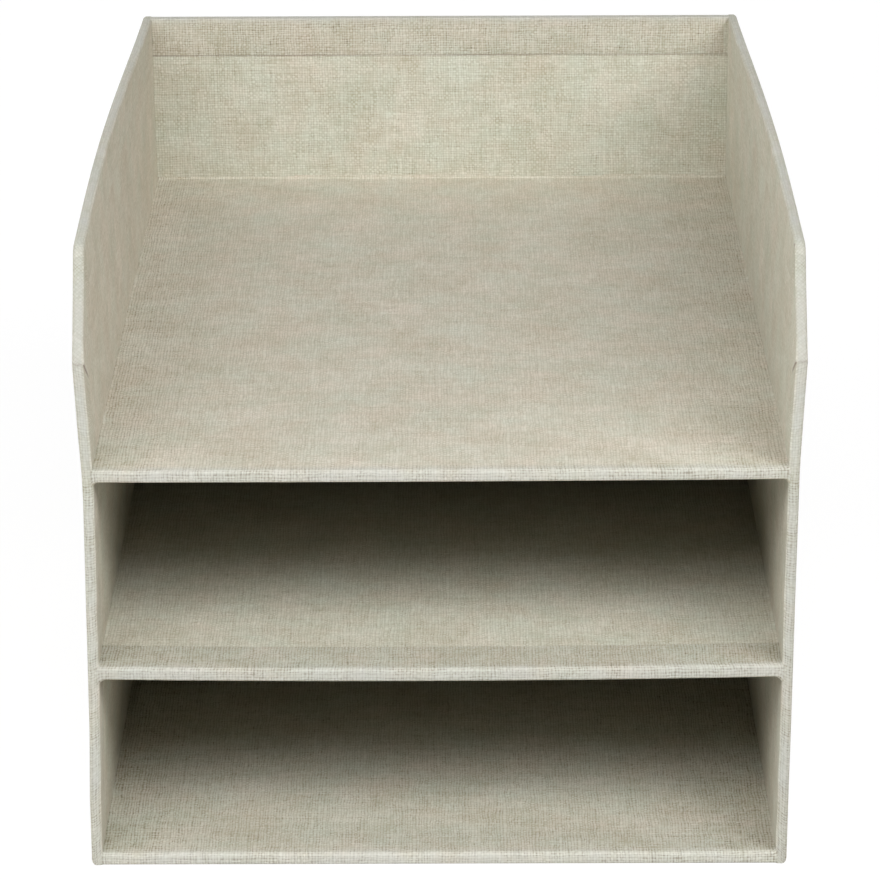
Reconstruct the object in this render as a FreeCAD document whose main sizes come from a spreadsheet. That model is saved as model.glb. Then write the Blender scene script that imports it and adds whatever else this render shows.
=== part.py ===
import FreeCAD, Part
import os
import re
import Sketcher

os.makedirs("parts", exist_ok=True)
doc = FreeCAD.newDocument("desk_tray")

# Driving dimensions in millimetres. Every piece below is tied to these cells.
SIZES = [
    ("width", 240.0, "overall width, outside of cloth to outside of cloth"),
    ("depth", 340.0, "overall depth, front edge to back"),
    ("height", 214.0, "overall height at the back"),
    ("cloth", 0.4, "thickness of one sheet of cloth"),
    ("side_board", 2.8, "thickness of a side board"),
    ("shelf_board", 3.5, "thickness of the base board and of both shelf boards"),
    ("back_board", 3.2, "thickness of the back board"),
    ("lower_bay", 65.5, "clear height of the lower bay"),
    ("middle_bay", 68.0, "clear height of the middle bay"),
    ("cut_back", 37.0, "how far back the slanted cut of a side reaches"),
    ("cut_down", 30.0, "how far down the slanted cut of a side reaches"),
    ("edge_radius", 0.8, "rounding of the board edges under the cloth"),
    ("low_corner", 2.4, "inside radius of the lining in the upper corners of the lower bay"),
    ("mid_corner", 1.2, "inside radius of the lining in the upper corners of the middle bay"),
    ("turn_in", 15.0, "width of the cloth turned in behind the front and top edges"),
    ("back_turn_in", 15.2, "width of the cloth turned in over the top of the back"),
    ("shelf_turn_in", 19.0, "width of the cloth turned in over the front of the lower shelf"),
    ("strip_gap", 2.6, "gap from the end of the strip on the back to the side wall"),
    ("seam", 0.2, "gap between two neighbouring sheets on one board"),
    ("slit_width", 0.5, "width of the slit that lets the cloth turn a corner"),
    ("overrun", 5.0, "how far a cutting shape reaches past what it cuts"),
]

sheet = doc.addObject("Spreadsheet::Sheet", "Dims")
for row, (alias, value, meaning) in enumerate(SIZES, start=1):
    sheet.set(f"A{row}", meaning)
    sheet.set(f"B{row}", str(value))
    sheet.setAlias(f"B{row}", alias)
doc.recompute()
ALIASES = {alias for alias, value, meaning in SIZES}
TOLERANCE = 0.001


def bound(text):
    """Turn the size names in an expression into references to the sheet."""
    return re.sub(r"[a-z_]+", lambda m: "Dims." + m[0] if m[0] in ALIASES else m[0], str(text))


# Lengths that follow from the sizes. Side view: U runs back from the front edge, Z up.
BOARD_SPAN = "2 * (width / 2 - cloth - side_board)"
CLEAR_SPAN = "2 * (width / 2 - 2 * cloth - side_board)"
BOARD_FACE_X = "-(width / 2 - cloth - side_board)"
LINING_FACE_X = "-(width / 2 - 2 * cloth - side_board)"
REAR_OF_BOARD = "(depth - cloth)"
BACK_FACE = "(depth - cloth - back_board)"
BACK_LINING = "(depth - 2 * cloth - back_board)"
BACK_STRIP = "(depth - 3 * cloth - back_board)"
BASE_TOP = "(shelf_board + 2 * cloth)"
LOWER_CEILING = f"({BASE_TOP} + lower_bay)"
LOWER_TOP = f"({LOWER_CEILING} + shelf_board + 2 * cloth)"
MIDDLE_CEILING = f"({LOWER_TOP} + middle_bay)"
TRAY_FLOOR = f"({MIDDLE_CEILING} + shelf_board + 2 * cloth)"
COVER_RADIUS = "edge_radius + cloth"

# Shares by which the two ends of the slanted cut move when the outline is set in.
SLANT = "sqrt(cut_back * cut_back + cut_down * cut_down)"
LOW_END_SHARE = f"(({SLANT} - cut_down) / cut_back)"
HIGH_END_SHARE = f"(({SLANT} - cut_back) / cut_down)"


def side_outline(inset, bottom, rear):
    """Side view of a side wall, set in from the front, the slanted cut and the top."""
    return [
        (f"{inset}", bottom),
        (f"{inset}", f"height - cut_down - ({inset}) * {LOW_END_SHARE}"),
        (f"cut_back + ({inset}) * {HIGH_END_SHARE}", f"height - ({inset})"),
        (rear, f"height - ({inset})"),
        (rear, bottom),
    ]


def rectangle(front, rear, bottom, top):
    """Side view of a flat piece."""
    return [(front, bottom), (front, top), (rear, top), (rear, bottom)]


def slab(name, outline, across, x=None):
    """Draw an outline in the side view and pad it across the width.

    Without x the piece is centred on the middle plane, with x it starts there."""
    body = doc.addObject("PartDesign::Body", name)
    sketch = body.newObject("Sketcher::SketchObject", name + "_outline")
    plane = next(f for f in body.Origin.OriginFeatures if f.Role == "YZ_Plane")
    sketch.AttachmentSupport = [(plane, "")]
    sketch.MapMode = "FlatFace"
    # A rough closed outline to start from; the rules below move its corners into place.
    count = len(outline)
    corners = [FreeCAD.Vector(i, i * (count - i), 0) for i in range(count)]
    for i in range(count):
        sketch.addGeometry(Part.LineSegment(corners[i], corners[(i + 1) % count]), False)
    for i in range(count):
        sketch.addConstraint(Sketcher.Constraint("Coincident", i, 2, (i + 1) % count, 1))
    for i, (u, z) in enumerate(outline):
        spot = corners[i]
        across_rule = sketch.addConstraint(Sketcher.Constraint("DistanceX", -1, 1, i, 1, spot.x))
        up_rule = sketch.addConstraint(Sketcher.Constraint("DistanceY", -1, 1, i, 1, spot.y))
        sketch.setExpression(f"Constraints[{across_rule}]", bound(u))
        sketch.setExpression(f"Constraints[{up_rule}]", bound(z))
    pad = body.newObject("PartDesign::Pad", name + "_pad")
    pad.Profile = sketch
    pad.setExpression("Length", bound(across))
    pad.Midplane = x is None
    if x is not None:
        body.setExpression("Placement.Base.x", bound(x))
    body.setExpression("Placement.Base.y", bound("-depth / 2"))
    doc.recompute()
    return body


def rounded(body, wanted, radius):
    """Round the edges of a slab that the test picks out."""
    base = body.Tip
    box = base.Shape.BoundBox
    picked = []
    for number, edge in enumerate(base.Shape.Edges, start=1):
        if wanted(edge.BoundBox, box):
            picked.append(f"Edge{number}")
    fillet = body.newObject("PartDesign::Fillet", body.Name + "_rounding")
    fillet.Base = (base, picked)
    fillet.setExpression("Radius", bound(radius))
    doc.recompute()
    return body


def near(a, b):
    """Whether two positions are the same within the modelling tolerance."""
    return abs(a - b) < TOLERANCE


def front_edge(e, box):
    return near(e.YMin, box.YMin) and near(e.YMax, box.YMin) and not near(e.XMin, e.XMax)


def upper_edge(e, box):
    return near(e.ZMin, box.ZMax) and near(e.ZMax, box.ZMax) and not near(e.XMin, e.XMax)


def rear_upper_edge(e, box):
    return upper_edge(e, box) and near(e.YMin, box.YMax)


def front_upper_edge(e, box):
    return upper_edge(e, box) and near(e.YMax, box.YMin)


def ceiling_edge(e, box):
    return near(e.ZMin, box.ZMax) and near(e.XMin, e.XMax)


def wall_rim(e, box):
    """All edges of the outer face; front, slanted and upper edges of the inner face."""
    if not near(e.XMin, e.XMax):
        return False
    if near(e.XMin, box.XMin):
        return True
    return not near(e.ZMax, box.ZMin) and not near(e.YMin, box.YMax)


def cut(name, base, *tools):
    """Take tools away from a piece, one after another."""
    result = base
    for number, tool in enumerate(tools, start=1):
        step = doc.addObject("Part::Cut", f"{name}_cut_{number}")
        step.Base = result
        step.Tool = tool
        result = step
    doc.recompute()
    return result


def fuse(name, *pieces):
    """Join shapes that are one piece of cloth."""
    joined = doc.addObject("Part::MultiFuse", name + "_joined")
    joined.Shapes = list(pieces)
    joined.Refine = True
    doc.recompute()
    return joined


def mirrored(name, source):
    """The same piece on the other side of the middle plane."""
    copy = doc.addObject("Part::Mirroring", name + "_mirrored")
    copy.Source = source
    copy.Base = FreeCAD.Vector(0, 0, 0)
    copy.Normal = FreeCAD.Vector(1, 0, 0)
    doc.recompute()
    return copy


nodes = {}


def node(name, piece):
    """Name a finished piece."""
    piece.Label = name
    nodes[name] = piece
    return piece


# Boards. The sides carry everything; back, base and shelves are glued between them.
left_board = slab(
    "left_board",
    side_outline("cloth", "cloth", REAR_OF_BOARD),
    "side_board",
    "-width / 2 + cloth",
)
rounded(left_board, wall_rim, "edge_radius")
node("left_side_board", left_board)
node("right_side_board", mirrored("right_board", left_board))

back_board = slab(
    "back_panel", rectangle(BACK_FACE, REAR_OF_BOARD, "cloth", "height - cloth"), BOARD_SPAN
)
rounded(back_board, upper_edge, "edge_radius")
node("back_board", back_board)

base_board = slab(
    "base_panel", rectangle("cloth", BACK_FACE, "cloth", "cloth + shelf_board"), BOARD_SPAN
)
rounded(base_board, front_edge, "edge_radius")
node("base_board", base_board)

lower_board = slab(
    "lower_panel",
    rectangle("cloth", BACK_FACE, f"{LOWER_CEILING} + cloth", f"{LOWER_TOP} - cloth"),
    BOARD_SPAN,
)
rounded(lower_board, front_edge, "edge_radius")
node("lower_shelf_board", lower_board)

upper_board = slab(
    "upper_panel",
    rectangle("cloth", BACK_FACE, f"{MIDDLE_CEILING} + cloth", f"{TRAY_FLOOR} - cloth"),
    BOARD_SPAN,
)
rounded(upper_board, front_edge, "edge_radius")
node("upper_shelf_board", upper_board)

# Side covers. One sheet wraps the outer face and all edges of a side board and is turned in
# behind the front, the slanted cut and the top. Two slits let it turn the slanted corners.
wrap = slab("left_wrap", side_outline("0", "0", "depth"), "side_board + 2 * cloth", "-width / 2")
rounded(wrap, wall_rim, COVER_RADIUS)
window = slab(
    "left_window", side_outline("turn_in", "0", "depth"), "overrun", BOARD_FACE_X
)
base_slot = slab(
    "base_slot", rectangle("0", "depth", "0", BASE_TOP), "overrun", BOARD_FACE_X
)
lower_slot = slab(
    "lower_slot", rectangle("0", "depth", LOWER_CEILING, LOWER_TOP), "overrun", BOARD_FACE_X
)
upper_slot = slab(
    "upper_slot", rectangle("0", "depth", MIDDLE_CEILING, TRAY_FLOOR), "overrun", BOARD_FACE_X
)
back_slot = slab(
    "back_slot", rectangle(BACK_FACE, "depth", "0", "height"), "overrun", BOARD_FACE_X
)
low_slit = slab(
    "low_slit",
    [
        ("0", "height - cut_down"),
        ("turn_in", f"height - cut_down - turn_in * {LOW_END_SHARE}"),
        ("turn_in", f"height - cut_down - turn_in * {LOW_END_SHARE} - slit_width"),
        ("0", "height - cut_down - slit_width"),
    ],
    "overrun",
    BOARD_FACE_X,
)
high_slit = slab(
    "high_slit",
    [
        ("cut_back", "height"),
        (f"cut_back + turn_in * {HIGH_END_SHARE}", "height - turn_in"),
        (f"cut_back + turn_in * {HIGH_END_SHARE} + slit_width", "height - turn_in"),
        ("cut_back + slit_width", "height"),
    ],
    "overrun",
    BOARD_FACE_X,
)
below_tray = slab(
    "below_tray", rectangle("0", "depth", "0", TRAY_FLOOR), "overrun", BOARD_FACE_X
)
left_cover = cut(
    "left_cover",
    wrap,
    left_board,
    window,
    base_slot,
    lower_slot,
    upper_slot,
    back_slot,
    cut("low_slit_in_tray", low_slit, below_tray),
    cut("high_slit_in_tray", high_slit, below_tray),
)
node("left_side_cover", left_cover)
node("right_side_cover", mirrored("right_cover", left_cover))

# Back cover and the linings of the back. The cover comes over the top edge and is turned in
# on top of the tray's back lining; the strip stops short of the side walls.
tray_back = slab(
    "tray_back",
    rectangle(BACK_LINING, BACK_FACE, TRAY_FLOOR, f"height - ({COVER_RADIUS})"),
    CLEAR_SPAN,
)
node("tray_back_lining", tray_back)

rear_sheet = slab("rear_sheet", rectangle(BACK_FACE, "depth", "0", "height"), BOARD_SPAN)
rounded(rear_sheet, rear_upper_edge, COVER_RADIUS)
strip = slab(
    "back_strip",
    rectangle(BACK_STRIP, REAR_OF_BOARD, "height - back_turn_in", "height"),
    f"{CLEAR_SPAN} - 2 * strip_gap",
)
rounded(strip, front_upper_edge, COVER_RADIUS)
back_sheet = fuse("back_sheet", rear_sheet, strip)
node("back_cover", cut("back_cover", back_sheet, back_board, tray_back))

# Base. The floor cloth runs over the front edge and is turned under; a second sheet covers
# the rest of the underside.
floor_wrap = slab(
    "floor_wrap",
    [
        ("0", "0"),
        ("0", BASE_TOP),
        (BACK_FACE, BASE_TOP),
        (BACK_FACE, "cloth"),
        ("turn_in", "cloth"),
        ("turn_in", "0"),
    ],
    BOARD_SPAN,
)
rounded(floor_wrap, front_edge, COVER_RADIUS)
node("base_floor_cloth", cut("floor_cloth", floor_wrap, base_board))
node(
    "base_underside_cloth",
    slab("underside", rectangle("turn_in + seam", f"{BACK_FACE} - seam", "0", "cloth"), BOARD_SPAN),
)

# Lower shelf. The lining lies on the board; the cover wraps the front edge, is turned in on
# top of the lining and fills the two upper corners of the lower bay with a small gusset.
lower_lining = slab(
    "lower_top",
    rectangle("cloth + edge_radius", BACK_FACE, f"{LOWER_TOP} - cloth", LOWER_TOP),
    BOARD_SPAN,
)
node("lower_shelf_lining", lower_lining)

lower_wrap = slab(
    "lower_wrap",
    [
        ("0", LOWER_CEILING),
        ("0", f"{LOWER_TOP} + cloth"),
        ("shelf_turn_in", f"{LOWER_TOP} + cloth"),
        ("shelf_turn_in", f"{LOWER_CEILING} + cloth"),
        ("turn_in", f"{LOWER_CEILING} + cloth"),
        ("turn_in", LOWER_CEILING),
    ],
    BOARD_SPAN,
)
rounded(lower_wrap, front_edge, COVER_RADIUS)
strip_end = slab(
    "strip_end",
    rectangle("0", "shelf_turn_in", LOWER_TOP, f"{LOWER_TOP} + cloth"),
    "overrun",
    f"{LINING_FACE_X} - overrun",
)
other_strip_end = mirrored("other_strip_end", strip_end)


def gusset(name, radius, ceiling):
    """Concave fillet of cloth in the upper left front corner of a bay."""
    block = slab(
        name + "_block",
        rectangle(COVER_RADIUS, "turn_in", f"{ceiling} - {radius}", ceiling),
        radius,
        LINING_FACE_X,
    )
    bore = doc.addObject("Part::Cylinder", name + "_bore")
    bore.setExpression("Radius", bound(radius))
    bore.setExpression("Height", bound("turn_in"))
    bore.Placement.Rotation = FreeCAD.Rotation(FreeCAD.Vector(1, 0, 0), -90)
    bore.setExpression("Placement.Base.x", bound(f"{LINING_FACE_X} + {radius}"))
    bore.setExpression("Placement.Base.y", bound("-depth / 2"))
    bore.setExpression("Placement.Base.z", bound(f"{ceiling} - {radius}"))
    return cut(name, block, bore)


lower_gusset = gusset("lower_gusset", "low_corner", LOWER_CEILING)
lower_sheet = cut(
    "lower_sheet", lower_wrap, lower_board, lower_lining, strip_end, other_strip_end
)
node(
    "lower_shelf_cover",
    fuse("lower_cover", lower_sheet, lower_gusset, mirrored("other_lower_gusset", lower_gusset)),
)

# Upper shelf. The floor cloth of the tray runs over the front edge and is turned under.
upper_wrap = slab(
    "upper_wrap",
    [
        ("0", MIDDLE_CEILING),
        ("0", TRAY_FLOOR),
        (BACK_FACE, TRAY_FLOOR),
        (BACK_FACE, f"{MIDDLE_CEILING} + cloth"),
        ("turn_in", f"{MIDDLE_CEILING} + cloth"),
        ("turn_in", MIDDLE_CEILING),
    ],
    BOARD_SPAN,
)
rounded(upper_wrap, front_edge, COVER_RADIUS)
upper_gusset = gusset("upper_gusset", "mid_corner", MIDDLE_CEILING)
upper_sheet = cut("upper_sheet", upper_wrap, upper_board)
node(
    "upper_shelf_cover",
    fuse("upper_cover", upper_sheet, upper_gusset, mirrored("other_upper_gusset", upper_gusset)),
)


# Linings of the two bays. One sheet covers a side wall, the ceiling and the other side wall,
# with rounded corners; a flat sheet covers the back.
def bay_lining(name, floor, ceiling, radius):
    outer = slab(
        name + "_outer",
        rectangle("turn_in + seam", BACK_FACE, floor, f"{ceiling} + cloth"),
        BOARD_SPAN,
    )
    rounded(outer, ceiling_edge, f"{radius} + cloth")
    inner = slab(name + "_inner", rectangle("0", "depth", "0", ceiling), CLEAR_SPAN)
    rounded(inner, ceiling_edge, radius)
    return cut(name, outer, inner)


def bay_back(name, floor, ceiling, radius):
    back = slab(name, rectangle(BACK_LINING, BACK_FACE, floor, ceiling), CLEAR_SPAN)
    return rounded(back, ceiling_edge, radius)


node("lower_bay_lining", bay_lining("lower_walls", BASE_TOP, LOWER_CEILING, "low_corner"))
node("lower_back_lining", bay_back("lower_back", BASE_TOP, LOWER_CEILING, "low_corner"))
node("middle_bay_lining", bay_lining("middle_walls", LOWER_TOP, MIDDLE_CEILING, "mid_corner"))
node("middle_back_lining", bay_back("middle_back", LOWER_TOP, MIDDLE_CEILING, "mid_corner"))

# Linings of the tray's side walls, inside the turned-in cloth of the side covers.
tray_wall = slab(
    "tray_wall", side_outline("turn_in + seam", "0", BACK_FACE), "cloth", BOARD_FACE_X
)
tray_left = cut("tray_left", tray_wall, below_tray)
node("tray_left_lining", tray_left)
node("tray_right_lining", mirrored("tray_right", tray_left))

# Every object must be sound before any piece is written.
doc.recompute()
for item in doc.Objects:
    if "Invalid" in item.State or "Error" in item.State:
        raise RuntimeError(f"{item.Label} did not build: {item.State}")
for name, piece in nodes.items():
    shape = piece.Shape
    if shape.isNull() or not shape.isValid() or len(shape.Solids) != 1:
        raise RuntimeError(f"{name} is not one sound solid")
for name, piece in nodes.items():
    piece.Shape.exportStep(f"parts/{name}.step")
    box = piece.Shape.BoundBox
    print(f"{name}: {box.XLength:.1f} x {box.YLength:.1f} x {box.ZLength:.1f} mm")
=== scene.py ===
# %% [markdown]
# # A desk tray of linen-covered board
# The real object is glued from flat boards and dressed in natural linen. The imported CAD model
# holds the boards and flat-faced cloth. This lesson makes every sheet of cloth again as a soft,
# rounded surface with a woven finish, and the boards under it with the small sag and lean that
# a hand-glued box takes on.

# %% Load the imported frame
import bmesh
import bpy
import math
import numpy as np
from mathutils import Matrix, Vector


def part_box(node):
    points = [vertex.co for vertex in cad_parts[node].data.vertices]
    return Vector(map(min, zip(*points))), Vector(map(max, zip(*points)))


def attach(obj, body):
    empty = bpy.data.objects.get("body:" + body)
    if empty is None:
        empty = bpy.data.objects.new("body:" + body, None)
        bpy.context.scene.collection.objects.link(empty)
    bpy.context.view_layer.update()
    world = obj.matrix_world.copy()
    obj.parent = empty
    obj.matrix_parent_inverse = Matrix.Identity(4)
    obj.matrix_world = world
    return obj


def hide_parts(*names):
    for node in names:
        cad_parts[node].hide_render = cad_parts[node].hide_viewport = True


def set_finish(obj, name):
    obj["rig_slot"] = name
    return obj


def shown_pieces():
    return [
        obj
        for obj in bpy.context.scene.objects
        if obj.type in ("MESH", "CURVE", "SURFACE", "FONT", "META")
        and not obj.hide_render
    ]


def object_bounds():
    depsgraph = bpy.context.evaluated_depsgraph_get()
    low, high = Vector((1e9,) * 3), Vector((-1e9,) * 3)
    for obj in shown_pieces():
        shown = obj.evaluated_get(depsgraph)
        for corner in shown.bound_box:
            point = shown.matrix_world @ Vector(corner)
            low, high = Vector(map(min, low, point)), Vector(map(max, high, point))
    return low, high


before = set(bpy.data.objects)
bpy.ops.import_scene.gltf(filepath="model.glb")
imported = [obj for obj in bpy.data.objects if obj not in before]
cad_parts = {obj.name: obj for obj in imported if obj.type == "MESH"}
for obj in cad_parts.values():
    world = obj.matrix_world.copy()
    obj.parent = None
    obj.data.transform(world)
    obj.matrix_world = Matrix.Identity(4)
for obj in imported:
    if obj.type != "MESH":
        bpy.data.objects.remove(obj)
cad_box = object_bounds()
print("CAD box:", [list(corner) for corner in cad_box])

# %% [markdown]
# All lengths below are millimetres, because a maker of boxes thinks in them; the mesh helper
# turns them into metres. The levels come from the CAD nodes' own boxes, so the cloth stays
# where the boards are.

# %% Levels and faces read from the frame
MM = 0.001
CLOTH = 0.4
SLANT_BACK = 37.0
SLANT_DOWN = 30.0
TURN_IN = 15.0


def node_box(name):
    """Lowest and highest corner of a CAD node, in millimetres."""
    low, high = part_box(name)
    return np.array(low) / MM, np.array(high) / MM


HALF_WIDTH = cad_box[1][0] / MM
FRONT = cad_box[0][1] / MM
REAR = cad_box[1][1] / MM
TOP = cad_box[1][2] / MM
BOARD_FACE = node_box("base_board")[1][0]
LINING_FACE = node_box("tray_back_lining")[1][0]
BACK_FACE = node_box("base_board")[1][1]
BASE_FLOOR = node_box("base_floor_cloth")[1][2]
LOWER_CEILING = node_box("lower_bay_lining")[1][2] - CLOTH
LOWER_FLOOR = node_box("lower_shelf_lining")[1][2]
MIDDLE_CEILING = node_box("middle_bay_lining")[1][2] - CLOTH
TRAY_FLOOR = node_box("upper_shelf_cover")[1][2]
print("floors:", BASE_FLOOR, LOWER_FLOOR, TRAY_FLOOR, "ceilings:", LOWER_CEILING, MIDDLE_CEILING)

# %% [markdown]
# The camera stands in front, a little above the tray, far away with a long lens, so that the
# sides run back with little perspective. Its place was found by matching the box's corners.

# %% Camera
IMAGE_SIDE = 880
FOCAL_PIXELS = 4130.99
CAMERA_PLACE = (4.189, -1460.129, 637.563)
CAMERA_YAW, CAMERA_PITCH, CAMERA_ROLL = np.radians((0.183, 20.434, -0.241))
SENSOR = 36.0


def stand(thing, right, up, behind, place):
    """Put a camera or lamp at a place in metres; its three axes are the columns of its matrix."""
    pose = np.eye(4)
    pose[:3] = np.stack([right, up, behind, place], axis=1)
    thing.matrix_world = Matrix(pose.tolist())


camera_data = bpy.data.cameras.new("photo_camera")
camera_data.sensor_width = SENSOR
camera_data.lens = FOCAL_PIXELS / IMAGE_SIDE * SENSOR
camera = bpy.data.objects.new("photo_camera", camera_data)
bpy.context.scene.collection.objects.link(camera)
level_right = np.array((math.cos(CAMERA_YAW), math.sin(CAMERA_YAW), 0.0))
level_ahead = np.array((-math.sin(CAMERA_YAW), math.cos(CAMERA_YAW), 0.0))
upward = np.array((0.0, 0.0, 1.0))
ahead = level_ahead * math.cos(CAMERA_PITCH) - upward * math.sin(CAMERA_PITCH)
above = level_ahead * math.sin(CAMERA_PITCH) + upward * math.cos(CAMERA_PITCH)
turned_right = level_right * math.cos(CAMERA_ROLL) + above * math.sin(CAMERA_ROLL)
turned_up = above * math.cos(CAMERA_ROLL) - level_right * math.sin(CAMERA_ROLL)
stand(camera, turned_right, turned_up, -ahead, np.array(CAMERA_PLACE) * MM)
bpy.context.scene.camera = camera
bpy.context.scene.view_settings.view_transform = "Standard"
print("lens:", round(camera_data.lens, 1), "mm")

# %% [markdown]
# Boards glued by hand are never quite true. Each shelf hangs down a little between the walls,
# most at its free front edge, and the foot of the box stands slightly to the left. One smooth
# field of small moves, all under about a millimetre, holds this. Every piece is moved by the
# same field, so nothing that touches comes apart.

# %% The settled box
SETTLE_LEVELS = (0.0, 72.0, 144.0, 214.0)
HANG = (0.0, 0.78, 0.28, 0.0)
TILT = (0.0, -0.24, -0.3, 0.0)
HOLLOW = (0.0, -1.16, -0.25, 0.0)
SHIFT_LEVELS = (0.0, 25.0, 50.0, 100.0, 135.0, 160.0, 214.0)
SHIFT = (-0.85, -0.75, -0.3, 0.0, 0.28, 0.05, 0.0)
SPREAD = (0.34, 0.34, 0.12, 0.05, 0.0, 0.0, 0.0)


def settle(points):
    """Move points by small amounts that are read off along the height.

    Down by hang + tilt * u + hollow * u * u, where u is the share of the half width, growing
    from the back to the front; sideways by shift + spread * u."""
    x, y, z = points[..., 0], points[..., 1], points[..., 2]
    across = x / HALF_WIDTH
    loose = np.clip((BACK_FACE - y) / (BACK_FACE - FRONT), 0.0, 1.0)
    hang, tilt, hollow = [np.interp(z, SETTLE_LEVELS, terms) for terms in (HANG, TILT, HOLLOW)]
    shift, spread = [np.interp(z, SHIFT_LEVELS, terms) for terms in (SHIFT, SPREAD)]
    down = loose * (hang + across * (tilt + across * hollow))
    return np.stack([x + shift + spread * across, y, z - down], axis=-1)


middle_of_shelf = np.array((0.0, FRONT, LOWER_FLOOR))
print("lower shelf hangs by", round(float((middle_of_shelf - settle(middle_of_shelf))[2]), 2), "mm")

# %% [markdown]
# A sheet of glued cloth is a thin skin. Each one is a grid of points worked out with numpy,
# together with where every point lay on the flat cloth before it was folded. That flat place
# becomes the UV map, so the weave runs unbroken round every edge. Solidify then gives the skin
# its thickness.

# %% Grid to mesh
WELD = 1e-6
SHARP_ANGLE = math.radians(38)


def field(*parts):
    """Spread the parts over one grid and stack them as the values of each point."""
    return np.stack(np.broadcast_arrays(*parts), axis=-1)


def grid_piece(name, points, flat, keep=None, marks=None, thickness=CLOTH):
    """Make an object from a grid of points (rows, columns, 3) in millimetres.

    Each quad joins a point to its neighbours in the next row and column; its front side is the
    one that the row direction crossed with the column direction points to. keep is a mask of
    quads, flat the place on the unfolded cloth, marks are values stored at the points."""
    rows, columns = points.shape[:2]
    number = np.arange(rows * columns).reshape(rows, columns)
    quads = field(number[:-1, :-1], number[1:, :-1], number[1:, 1:], number[:-1, 1:])
    quads = quads.reshape(-1, 4) if keep is None else quads[keep]
    used = np.unique(quads)
    fresh = np.zeros(rows * columns, int)
    fresh[used] = np.arange(len(used))
    corners = fresh[quads].ravel()
    mesh = bpy.data.meshes.new(name)
    mesh.vertices.add(len(used))
    mesh.vertices.foreach_set("co", (settle(points).reshape(-1, 3)[used] * MM).ravel())
    mesh.loops.add(len(corners))
    mesh.loops.foreach_set("vertex_index", corners)
    mesh.polygons.add(len(quads))
    mesh.polygons.foreach_set("loop_start", np.arange(0, len(corners), 4))
    mesh.update(calc_edges=True)
    uv = mesh.uv_layers.new(name="flat_cloth")
    uv.data.foreach_set("uv", (flat.reshape(-1, 2)[quads.ravel()] * MM).ravel())
    for key, values in (marks or {}).items():
        mark = mesh.attributes.new(key, "FLOAT", "POINT")
        mark.data.foreach_set("value", np.broadcast_to(values, (rows, columns)).ravel()[used])
    weld = bmesh.new()
    weld.from_mesh(mesh)
    bmesh.ops.remove_doubles(weld, verts=weld.verts, dist=WELD)
    weld.to_mesh(mesh)
    weld.free()
    piece = bpy.data.objects.new(name, mesh)
    bpy.context.scene.collection.objects.link(piece)
    if thickness:
        solid = piece.modifiers.new("thickness", "SOLIDIFY")
        solid.thickness = thickness * MM
        solid.offset = -1.0
        solid.use_even_offset = True
        solid.use_quality_normals = True
        graph = bpy.context.evaluated_depsgraph_get()
        piece.data = bpy.data.meshes.new_from_object(
            piece.evaluated_get(graph), preserve_all_data_layers=True, depsgraph=graph
        )
        piece.modifiers.clear()
        bpy.data.meshes.remove(mesh)
        piece.data.name = name
    piece.data.shade_smooth()
    piece.data.set_sharp_from_angle(angle=SHARP_ANGLE)
    box = np.array(piece.bound_box) / MM
    print(name, len(piece.data.polygons), "faces,", box.min(0).round(1), box.max(0).round(1))
    return piece


# %% [markdown]
# Every sheet stands for a CAD node, rides on the one body and wears a finish; its UV map holds
# the size of its flat cut. Its marks say, point by point, how rubbed the cloth is, how openly it
# is woven, how warm its colour is, where dark lines lie along folds and as a painted shadow,
# and how light it is: partly its own tone, since each sheet is cut from another place of the
# roll, and partly painted light and shade.

# %% Cloth sheets, declared
PLAIN_MARKS = {"wear": 0.0, "open": 0.4, "warm": 0.5, "fold_and_shadow_lines": 0.0, "tone": 1.0}


def declare(piece, node, slot):
    """Say that a piece rides on the one body, stands for a CAD node and wears a finish."""
    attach(piece, "root")
    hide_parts(node)
    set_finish(piece, slot)


def cloth(name, node, slot, points, flat, keep=None, marks=None):
    """A sheet of cloth in place of a CAD node: mesh, body and slot."""
    piece = grid_piece(name, points, flat, keep, {**PLAIN_MARKS, **(marks or {})})
    declare(piece, node, slot)
    shown = np.ones(np.subtract(flat.shape[:2], 1), bool) if keep is None else keep
    used = np.zeros(flat.shape[:2], bool)
    for down in (0, 1):
        for across in (0, 1):
            used[down:, across:][: shown.shape[0], : shown.shape[1]] |= shown


# %% [markdown]
# Most edges are a profile carried along a line: a few corners with a radius each. Positions
# along a straight run can be far apart, but a fillet at its ends needs them close.

# %% Profiles and positions
ARC_STEPS = 8
STEP = 4.0
CLOSE_STEP = 0.2
WAVES = 5
WAVE_LENGTHS = (25.0, 80.0)


def rounded_line(corners, radii, step=STEP):
    """Points along a line whose inner corners are replaced by arcs, and the distance along it.

    An arc starts radius * tan(turn / 2) before its corner and swings about the centre on the
    corner's bisector; straight runs are divided into steps."""
    corners = np.asarray(corners, float)
    parts = [corners[:1]]
    for before, corner, after, radius in zip(corners, corners[1:], corners[2:], radii):
        back = (before - corner) / np.linalg.norm(before - corner)
        on = (after - corner) / np.linalg.norm(after - corner)
        turn = math.pi - math.acos(np.clip(back @ on, -1.0, 1.0))
        start = corner + back * radius * math.tan(turn / 2)
        middle = corner + (back + on) / np.linalg.norm(back + on) * radius / math.cos(turn / 2)
        swing = np.linspace(0.0, turn, ARC_STEPS + 1)[:, None]
        parts.append(middle + (start - middle) * np.cos(swing) - back * radius * np.sin(swing))
    parts.append(corners[-1:])
    points = np.concatenate(parts)
    along = np.append(0.0, np.cumsum(np.linalg.norm(np.diff(points, axis=0), axis=1)))
    between = np.arange(step, along[-1], step)
    apart = np.abs(between[:, None] - along).min(1) > step / 4
    stops = np.sort(np.append(along, between[apart]))
    return field(*[np.interp(stops, along, column) for column in points.T]), stops


def stations(start, end, step=STEP, close=0.0, close_step=CLOSE_STEP):
    """Positions from start up to end, close_step apart near both and step apart between."""
    middle = np.linspace(start + close, end - close, max(2, int((end - start) / step) + 1))
    edge = np.arange(0.0, close - close_step / 2, close_step)
    return np.concatenate([start + edge, middle, (end - edge)[::-1]])


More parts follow.
